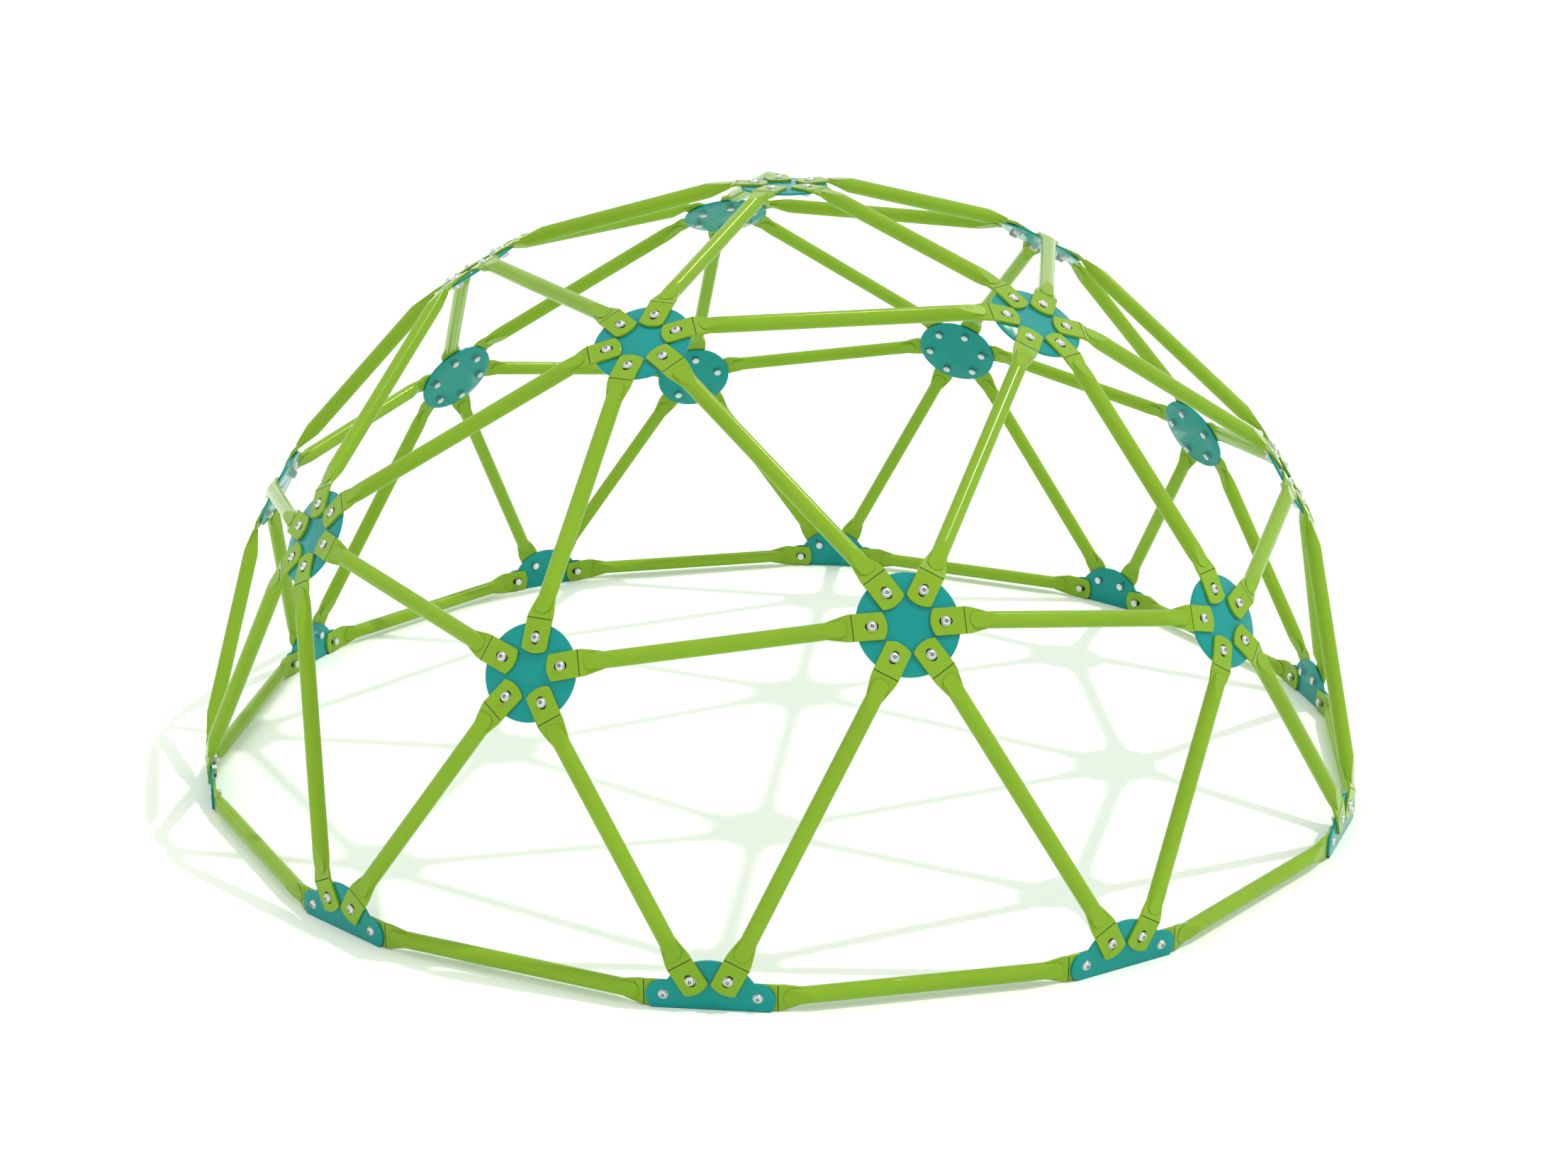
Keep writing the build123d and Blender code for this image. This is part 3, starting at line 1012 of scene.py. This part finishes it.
@dataclass
class PlateMaker(Maker):
    """Models the round hub plates and the foot plates."""

    colour: Colour = (0.005, 0.25, 0.228)
    round_sides: int = 96
    lobe_sides: int = 64
    hole_sides: int = 24
    sharp_angle: float = 30.0

    def __post_init__(self) -> None:
        """Makes the plates' finish."""
        self.coat = PowderCoat("teal_powder_coat", self.colour).make()

    def _drill(self, plate: Piece, x: float, y: float, diameter: float) -> None:
        """Drills a hole through a plate.

        Args:
            plate: The plate.
            x: X of the hole.
            y: Y of the hole.
            diameter: Its diameter.
        """
        depth = self.sizes.plate_thickness
        drill = add_bar(self.hole_sides, diameter / 2, -2 * depth, depth)
        drill.location = (x, y, 0)
        combine(plate, drill, "DIFFERENCE")

    def _round_plate(self, kind: PlateKind) -> Piece:
        """Models the blank of a hub plate and its marker holes.

        Args:
            kind: Which plate.

        Returns:
            The plate.
        """
        sizes = self.sizes
        six_way = kind is PlateKind.SIX_WAY
        circle = sizes.six_circle if six_way else sizes.five_circle
        plate = add_bar(self.round_sides, circle + sizes.plate_margin,
                        -sizes.plate_thickness, 0)
        bench = Bench(plate)
        bench.pick_outline()
        bench.bevel(sizes.plate_edge_radius, segments=2)
        bench.close()
        for side in (-1, 1) if six_way else ():
            self._drill(plate, side * (circle + sizes.marker_offset), 0,
                        sizes.marker_diameter)
        return plate

    def _foot_plate(self, kind: PlateKind) -> Piece:
        """Models the blank of a foot plate, its slots and its marker hole.

        Args:
            kind: Which plate.

        Returns:
            The plate.
        """
        sizes, layout = self.sizes, self.layout
        plate = add_bar(self.round_sides, sizes.six_circle + sizes.plate_margin,
                        -sizes.plate_thickness, 0)
        band = add_slot_bar(self.lobe_sides, sizes.lobe_radius,
                            2 * (layout.ring_bolt_x + sizes.lobe_shift),
                            -sizes.plate_thickness, 0)
        band.location.y = (layout.ring_height + sizes.tab_width / 2 + sizes.band_cover
                           - sizes.lobe_radius)
        combine(plate, band, "UNION")
        bench = Bench(plate)
        bench.slice((0, 0, 0), (0, -1, 0))
        bench.pick_outline()
        bench.bevel(sizes.plate_edge_radius, segments=2)
        bench.close()
        lean = math.atan2(layout.ring_height, layout.ring_bolt_x)
        for side in (-1, 1):
            slot = add_slot_bar(self.hole_sides, sizes.slot_width / 2,
                                sizes.foot_slot_travel, -2 * sizes.plate_thickness,
                                sizes.plate_thickness)
            slot.location = (side * layout.ring_bolt_x, layout.ring_height, 0)
            slot.rotation_euler.z = math.pi / 2 + side * lean
            combine(plate, slot, "DIFFERENCE")
        spread = 1 + sizes.marker_offset / sizes.six_circle
        x, y = layout.rising_bolts(kind)[0]
        self._drill(plate, x * spread, y * spread, sizes.marker_diameter)
        return plate

    def pattern(self, kind: PlateKind) -> Piece:
        """Models one plate under its outer face.

        Args:
            kind: Which plate.

        Returns:
            The plate.
        """
        foot = kind in (PlateKind.LEFT_FOOT, PlateKind.RIGHT_FOOT)
        plate = self._foot_plate(kind) if foot else self._round_plate(kind)
        hole = self.sizes.bolt_diameter + self.sizes.hole_clearance
        for x, y, outer in self.layout.bolt_spots(kind):
            if outer:
                self._drill(plate, x, y, hole)
        dress(plate, self.coat)
        smooth(plate, self.sharp_angle)
        return plate

    def build(self) -> None:
        """Models each kind of plate once and copies it to all its places."""
        patterns = {kind: self.pattern(kind) for kind in PlateKind}
        for plate in self.layout.hubs() + self.layout.feet():
            fasten(copy_to(patterns[plate.kind], f"{plate.node}_coated", plate.place),
                   "plates", plate.node)
        for pattern in patterns.values():
            bpy.data.objects.remove(pattern)


@dataclass
class FastenerMaker(Maker):
    """Models the button-head bolts and the nuts."""

    steel_colour: Colour = (0.62, 0.63, 0.65)
    steel_roughness: Pair = (0.25, 0.35)
    # Painted shade: the socket's walls and floor get this dark steel colour for the shade
    # inside them.
    socket_shade_colour: Colour = (0.10, 0.11, 0.14)
    socket_roughness: Pair = (0.45, 0.55)
    head_sides: int = 24
    shank_sides: int = 16
    dome: tuple[Pair, ...] = (
        (0.78, 0.075), (0.765, 0.2), (0.68, 0.36), (0.55, 0.46), (0.43, 0.51))
    crown_rise: float = 0.527
    head_share: float = 0.875
    rim_share: float = 0.07
    socket_share: float = 0.33
    socket_depth_share: float = 0.25
    lobe_scale: float = 1.16
    notch_scale: float = 0.58
    pin_share: float = 0.12
    lobes: int = 6
    nut_sides: int = 6
    nut_chamfer_share: float = 0.08
    thread_gap: float = 0.00005
    bolt_sharp_angle: float = 35.0
    nut_sharp_angle: float = 25.0

    def __post_init__(self) -> None:
        """Makes the fasteners' finishes."""
        self.steel = BareSteel("stainless_steel", self.steel_colour,
                               roughness=self.steel_roughness).make()
        # The socket's finish is painted shade.
        self.socket_painted_shade = BareSteel("socket_painted_shade", self.socket_shade_colour,
                                      roughness=self.socket_roughness).make()

    def _socket(self, bench: Bench, top: float) -> None:
        """Sinks the six-lobe socket into a bolt's crown, whose face is selected, and paints
        shade on its walls and floor.

        Args:
            bench: The bolt, being edited.
            top: Height of the crown.
        """
        size = self.sizes.bolt_diameter
        crown, socket = self.dome[-1][0] * size, self.socket_share * size
        bpy.ops.mesh.inset(thickness=crown - socket)
        bench.shift((0, 0, self.crown_rise * size - top))
        top = self.crown_rise * size
        for phase, factor in ((0, self.lobe_scale),
                              (math.pi / self.lobes, self.notch_scale)):
            bench.pick_corners(lambda place: (
                place.xy.length < (crown + socket) / 2 and place.z > top - HAIR
                and math.cos((math.atan2(place.y, place.x) - phase) * self.lobes)
                > FACING))
            bench.scale((factor, factor, 1), (0, 0, top))
        bench.pick_faces(lambda place, normal: (
            normal.z > FACING and place.xy.length < HAIR))
        bench.raise_picked(-self.socket_depth_share * size)
        # Painted shade: the socket's walls and floor get the dark finish.
        bench.pick_faces(lambda place, normal: (
            place.z < top - HAIR and place.xy.length < socket
            and place.z > top - 1.1 * self.socket_depth_share * size))
        bench.dress_picked(1)

    def bolt(self) -> Piece:
        """Models a bolt with its head on the XY plane, facing +Z."""
        sizes, size = self.sizes, self.sizes.bolt_diameter
        height = self.rim_share * size
        radius = self.head_share * size
        bolt = add_bar(self.head_sides, radius, 0, height)
        dress(bolt, self.steel, self.socket_painted_shade)
        bench = Bench(bolt)
        bench.pick_faces(lambda place, normal: normal.z > FACING)
        for ring, rise in self.dome:
            bench.raise_picked(rise * size - height)
            height = rise * size
            bench.scale((ring * size / radius, ring * size / radius, 1), (0, 0, height))
            radius = ring * size
        self._socket(bench, height)
        bench.close()
        end = -(sizes.grip + sizes.nut_height + sizes.bolt_end)
        shank = add_bar(self.shank_sides, size / 2, end, self.rim_share * size / 2)
        dress(shank, self.steel)
        bench = Bench(shank)
        bench.pick_outline(lambda place: place.z < end / 2)
        bench.bevel(sizes.bolt_end / 2, segments=1)
        bench.close()
        combine(bolt, shank, "UNION")
        floor = (self.crown_rise - self.socket_depth_share) * size
        pin = add_bar(self.shank_sides, self.pin_share * size, floor - self.thread_gap,
                      self.crown_rise * size - self.thread_gap)
        dress(pin, self.steel)
        combine(bolt, pin, "UNION")
        smooth(bolt, self.bolt_sharp_angle)
        return bolt

    def nut(self) -> Piece:
        """Models a nut that hangs under the XY plane."""
        sizes, size = self.sizes, self.sizes.bolt_diameter
        height, chamfer = sizes.nut_height, self.nut_chamfer_share * size
        corner = sizes.nut_flats / math.sqrt(3)
        nut = add_bar(self.nut_sides, corner, -height, 0)
        turned = add_bar(self.head_sides, corner + chamfer, -height, chamfer)
        bench = Bench(turned)
        bench.slice((0, 0, chamfer - height), (0, 0, 1), trim=False)
        bench.pick_corners(lambda place: place.z < -height + chamfer / 2)
        narrow = (sizes.nut_flats / 2 - chamfer / 2) / (corner + chamfer)
        bench.scale((narrow, narrow, 1), (0, 0, -height))
        bench.close()
        combine(nut, turned, "INTERSECT")
        combine(nut, add_bar(self.shank_sides, size / 2 + self.thread_gap, -2 * height,
                             height), "DIFFERENCE")
        dress(nut, self.steel)
        smooth(nut, self.nut_sharp_angle)
        return nut

    def _set_out(self, pattern: Piece, name: str, node: str,
                 places: Sequence[Matrix], slot: str) -> None:
        """Copies a fastener to its places as one piece.

        Args:
            pattern: The modelled fastener.
            name: Name of the piece.
            node: The node that it stands for.
            places: Where each fastener sits.
            slot: Group name that is handed on to fasten.
        """
        copies = [copy_to(pattern, name, place) for place in places]
        alone(copies[0])
        for piece in copies:
            piece.select_set(True)
        bpy.ops.object.join()
        fasten(bpy.context.object, slot, node)

    def build(self) -> None:
        """Models a bolt and a nut and copies them to all their places."""
        sizes = self.sizes
        bolt, nut = self.bolt(), self.nut()
        for group, plates in (("hub", self.layout.hubs()), ("foot", self.layout.feet())):
            seats: dict[str, list[Matrix]] = {"bolts": [], "nuts": []}
            for plate in plates:
                for x, y, outer in self.layout.bolt_spots(plate.kind):
                    head = sizes.tab_thickness if outer else 0.0
                    foot = -sizes.plate_thickness if outer else -sizes.grip
                    for kind, z in (("bolts", head), ("nuts", foot)):
                        seats[kind].append(plate.place @ Matrix.Translation((x, y, z)))
            for pattern, kind in ((bolt, "bolts"), (nut, "nuts")):
                self._set_out(pattern, f"{group}_{kind}_turned", f"{group}_{kind}",
                              seats[kind], kind)
        for pattern in (bolt, nut):
            bpy.data.objects.remove(pattern)


@dataclass(frozen=True)
class Studio:
    """Floor, light and camera."""

    floor_size: float = 120.0
    camera_azimuth: float = -11.976
    camera_elevation: float = 19.106
    camera_distance: float = 6.873
    camera_target: Triple = (0.0, 0.0, 0.4385)
    lens_mm: float = 60.15
    sensor_mm: float = 36.0
    light_from: Triple = (0.5, -0.08, 1.0)
    light_strength: float = 1.2
    light_angle: float = 1.4
    glint_from: tuple[Triple, ...] = (
        (0.69, 0.50, 1.0), (0.245, 0.24, 1.0))
    glint_colour: Colour = (1.0, 1.0, 0.5)
    glint_strength: float = 0.5
    glint_angle: float = 0.8
    sky_strength: float = 1.05

    def build(self) -> None:
        """Lays the floor, hangs the light and sets the camera."""
        self._lay_floor()
        self._light()
        self._aim_camera()
        logger.info("studio: floor, sky, lamps and camera")

    def _lay_floor(self) -> None:
        """Lays a wide white floor under the dome."""
        bpy.ops.mesh.primitive_plane_add(size=self.floor_size, location=(0, 0, 0))
        floor = settle(bpy.context.object)
        floor.name = "floor"
        dress(floor, StudioFloor().make())

    def _hang_lamp(self, name: str, light_from: Triple,
                   strength: float, angle: float) -> Piece:
        """Hangs a far lamp.

        Args:
            name: Name of the lamp.
            light_from: Direction that its light comes from.
            strength: Strength of its light.
            angle: How wide it looks from the dome, in degrees.

        Returns:
            The lamp.
        """
        light = bpy.data.lights.new(name, "SUN")
        light.energy = strength
        light.angle = math.radians(angle)
        lamp = bpy.data.objects.new(name, light)
        bpy.context.collection.objects.link(lamp)
        lamp.rotation_euler = Vector(light_from).to_track_quat("Z", "Y").to_euler()
        return lamp

    def _light(self) -> None:
        """Lights the dome with a white sky, a lamp high up and lamps for glints only."""
        world = bpy.data.worlds.new("white_sky")
        world.use_nodes = True
        sky = world.node_tree.nodes["Background"]
        sky.inputs["Color"].default_value = (1, 1, 1, 1)
        sky.inputs["Strength"].default_value = self.sky_strength
        bpy.context.scene.world = world
        self._hang_lamp("high_lamp", self.light_from, self.light_strength,
                        self.light_angle)
        for number, glint_from in enumerate(self.glint_from, 1):
            lamp = self._hang_lamp(f"glint_lamp_{number}", glint_from,
                                   self.glint_strength, self.glint_angle)
            lamp.data.color = self.glint_colour
            lamp.visible_diffuse = False
        bpy.context.scene.view_settings.view_transform = "Standard"

    def _aim_camera(self) -> None:
        """Sets the camera."""
        turn = math.radians(self.camera_azimuth)
        rise = math.radians(self.camera_elevation)
        back = Vector((math.sin(turn) * math.cos(rise), -math.cos(turn) * math.cos(rise),
                       math.sin(rise)))
        lens = bpy.data.cameras.new("camera")
        lens.lens = self.lens_mm
        lens.sensor_width = self.sensor_mm
        lens.sensor_fit = "HORIZONTAL"
        lens.clip_end = 2 * self.floor_size
        camera = bpy.data.objects.new("camera", lens)
        bpy.context.collection.objects.link(camera)
        camera.location = Vector(self.camera_target) + back * self.camera_distance
        camera.rotation_euler = (-back).to_track_quat("-Z", "Y").to_euler()
        bpy.context.scene.camera = camera


def main() -> None:
    """Builds the studio and then the climber, from its plates to its nuts."""
    logging.basicConfig(level=logging.INFO, format="%(name)s: %(message)s")
    sizes = ClimberSizes(dome_radius=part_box("apex_plate")[1].z)
    layout = DomeLayout(sizes)
    Studio().build()
    PlateMaker(sizes, layout).build()
    StrutMaker(sizes, layout).build()
    FastenerMaker(sizes, layout).build()


if __name__ == "__main__":
    main()
